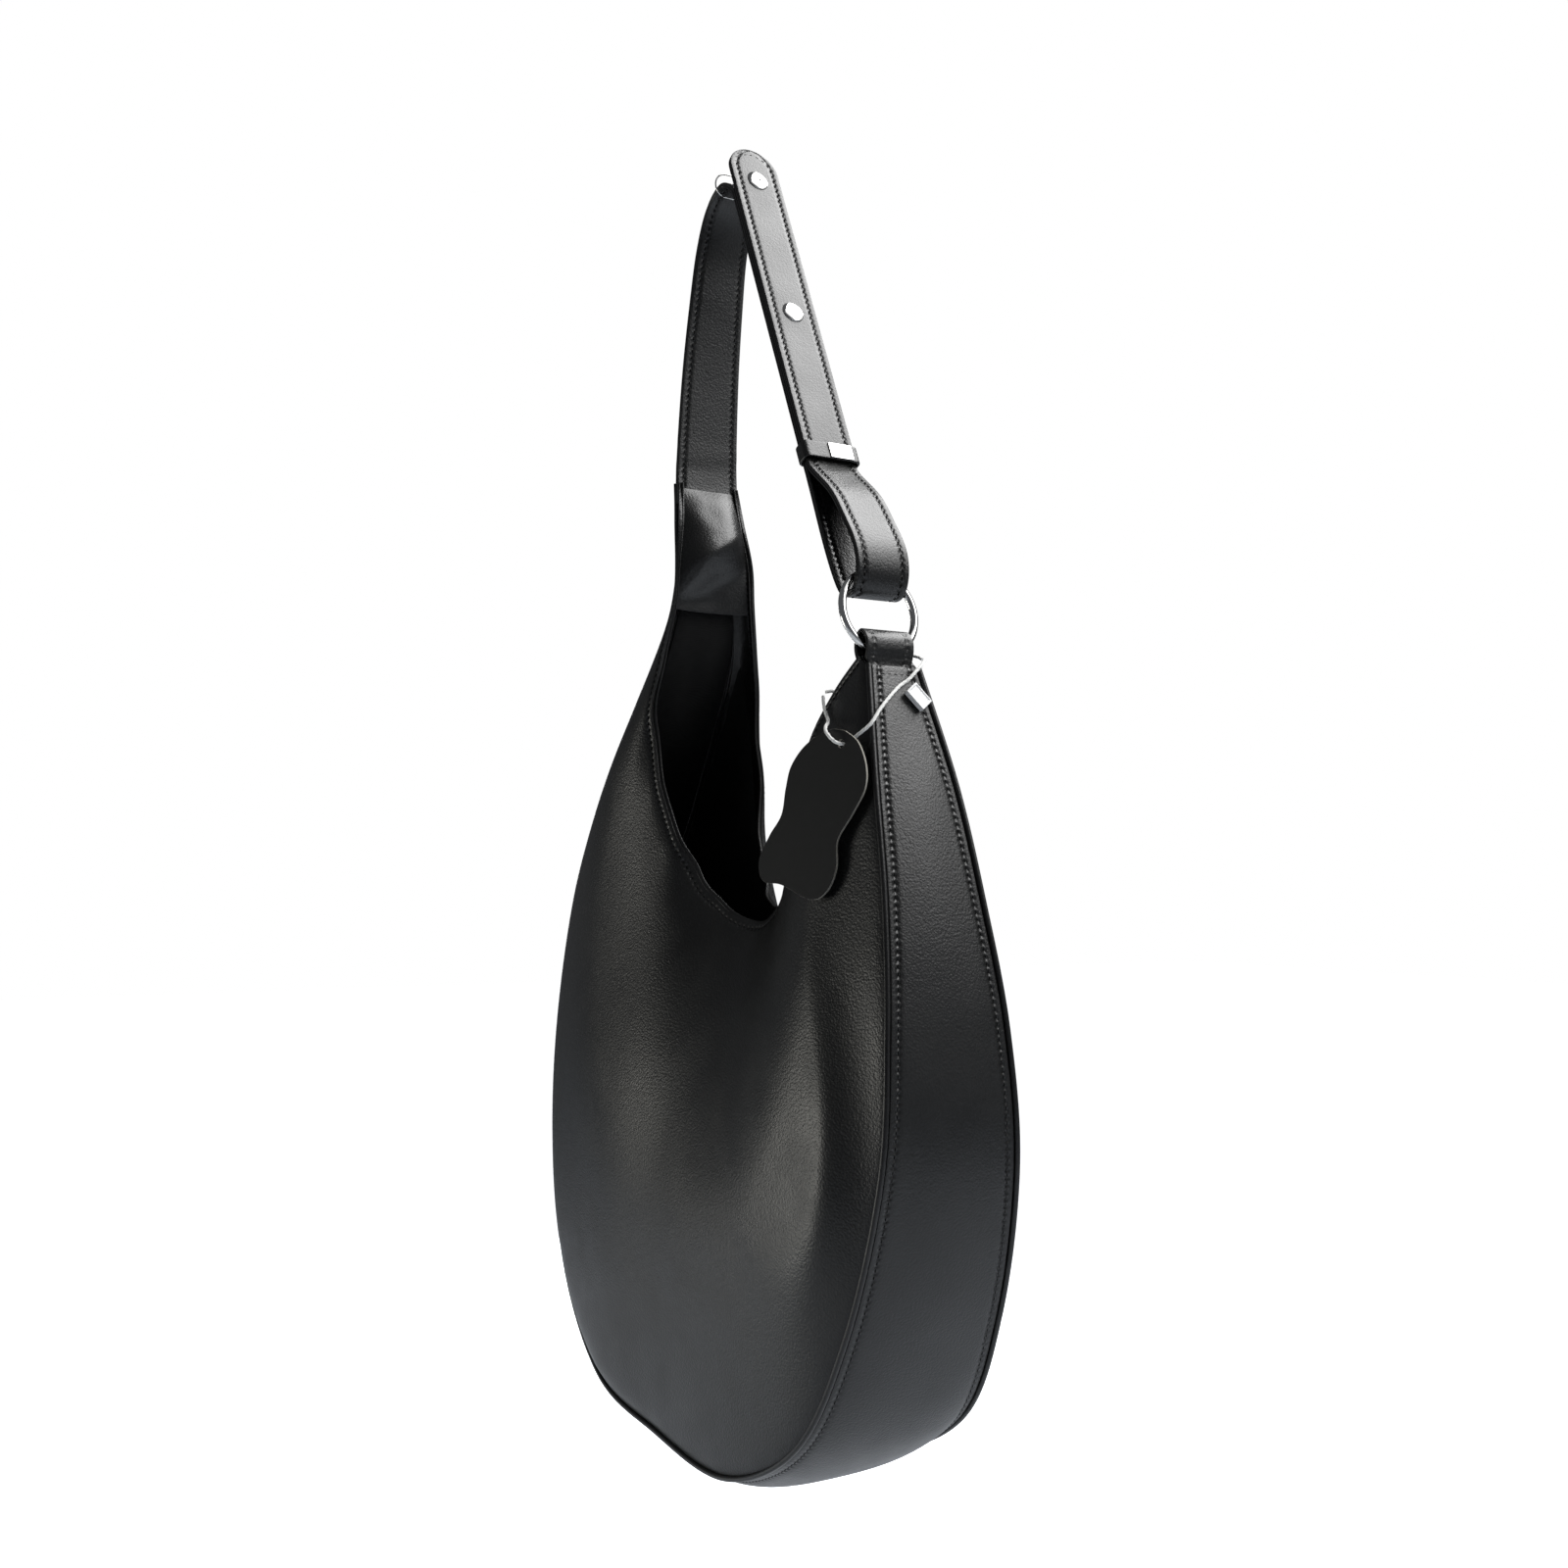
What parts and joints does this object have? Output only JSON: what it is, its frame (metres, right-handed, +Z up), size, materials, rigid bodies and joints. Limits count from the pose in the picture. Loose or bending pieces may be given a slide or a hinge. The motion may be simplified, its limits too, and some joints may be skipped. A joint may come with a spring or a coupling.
{
  "type": "hobo shoulder bag",
  "caption": "Soft slouching hobo shoulder bag with a scooped mouth, a folded strap with a snap tail running through an O-ring, and a hang tag on a string.",
  "frame": {"origin": "the hanging point, at the top of the wire ring round the bend of the strap", "axes": "+Z up, -Y the front of the bag, +X from the neck towards the O-ring"},
  "size_m": [0.3903, 0.1098, 0.7309],
  "materials": {
    "shell_leather": "soft coated leather with a fine pebble grain, satin",
    "piping_leather": "coated leather rolled over a cord, satin",
    "facing_leather": "turned coated leather, softer grain",
    "lining_cloth": "plain woven polyester lining, matte",
    "fibre_board": "fibre board, matte",
    "strap_core_felt": "bonded nonwoven reinforcement",
    "strap_leather": "firm coated leather with painted edges, satin",
    "plated_metal": "polished nickel plate",
    "tag_leather": "matte coated leather with a raw light edge",
    "string_cord": "waxed white cotton string",
    "seal_plastic": "moulded white plastic"
  },
  "bodies": {
    "strap": {"strap_face": "strap_leather", "strap_core": "strap_core_felt", "strap_backing": "strap_leather", "stud_rivets": "plated_metal", "snap_studs": "plated_metal", "hanging_ring": "plated_metal"},
    "bag": {"front_panel": "shell_leather", "back_panel": "shell_leather", "gusset": "shell_leather", "front_piping": "piping_leather", "back_piping": "piping_leather", "front_lining": "lining_cloth", "back_lining": "lining_cloth", "gusset_lining": "lining_cloth", "front_facing": "facing_leather", "back_facing": "facing_leather", "neck_facing": "facing_leather", "base_stiffener": "fibre_board", "ring_tab": "strap_leather", "string_loop": "string_cord"},
    "ring": {"o_ring": "plated_metal"},
    "keeper": {"keeper_loop": "strap_leather", "keeper_plate": "plated_metal"},
    "tail": {"tail_face": "strap_leather", "tail_core": "strap_core_felt", "tail_backing": "strap_leather", "snap_caps": "plated_metal", "snap_sockets": "plated_metal"},
    "tag": {"hang_tag": "tag_leather", "tag_string": "string_cord", "string_seal": "seal_plastic"}
  },
  "joints": [
    {"name": "bag_swing", "type": "hinge", "parent": "strap", "child": "bag", "pos_m": [0.141, 0, -0.267], "axis": [-0.925, 0, 0.38], "range_deg": [-7, 7]},
    {"name": "ring_spin", "type": "hinge", "parent": "bag", "child": "ring", "pos_m": [0.141, 0, -0.267], "axis": [0.9763, 0, 0.2164], "continuous": true},
    {"name": "keeper_slide", "type": "slide", "parent": "strap", "child": "keeper", "axis": [-0.4163, 0, 0.9092], "range_m": [-0.004, 0.03]},
    {"name": "tail_flap", "type": "hinge", "parent": "strap", "child": "tail", "pos_m": [0.0793, 0, -0.1416], "axis": [0, 1, 0], "range_deg": [0, 65]},
    {"name": "tag_swing", "type": "hinge", "parent": "bag", "child": "tag", "pos_m": [0.12, -0.018, -0.3066], "axis": [-0.6514, -0.6955, -0.3032], "range_deg": [0, 60]}
  ]
}
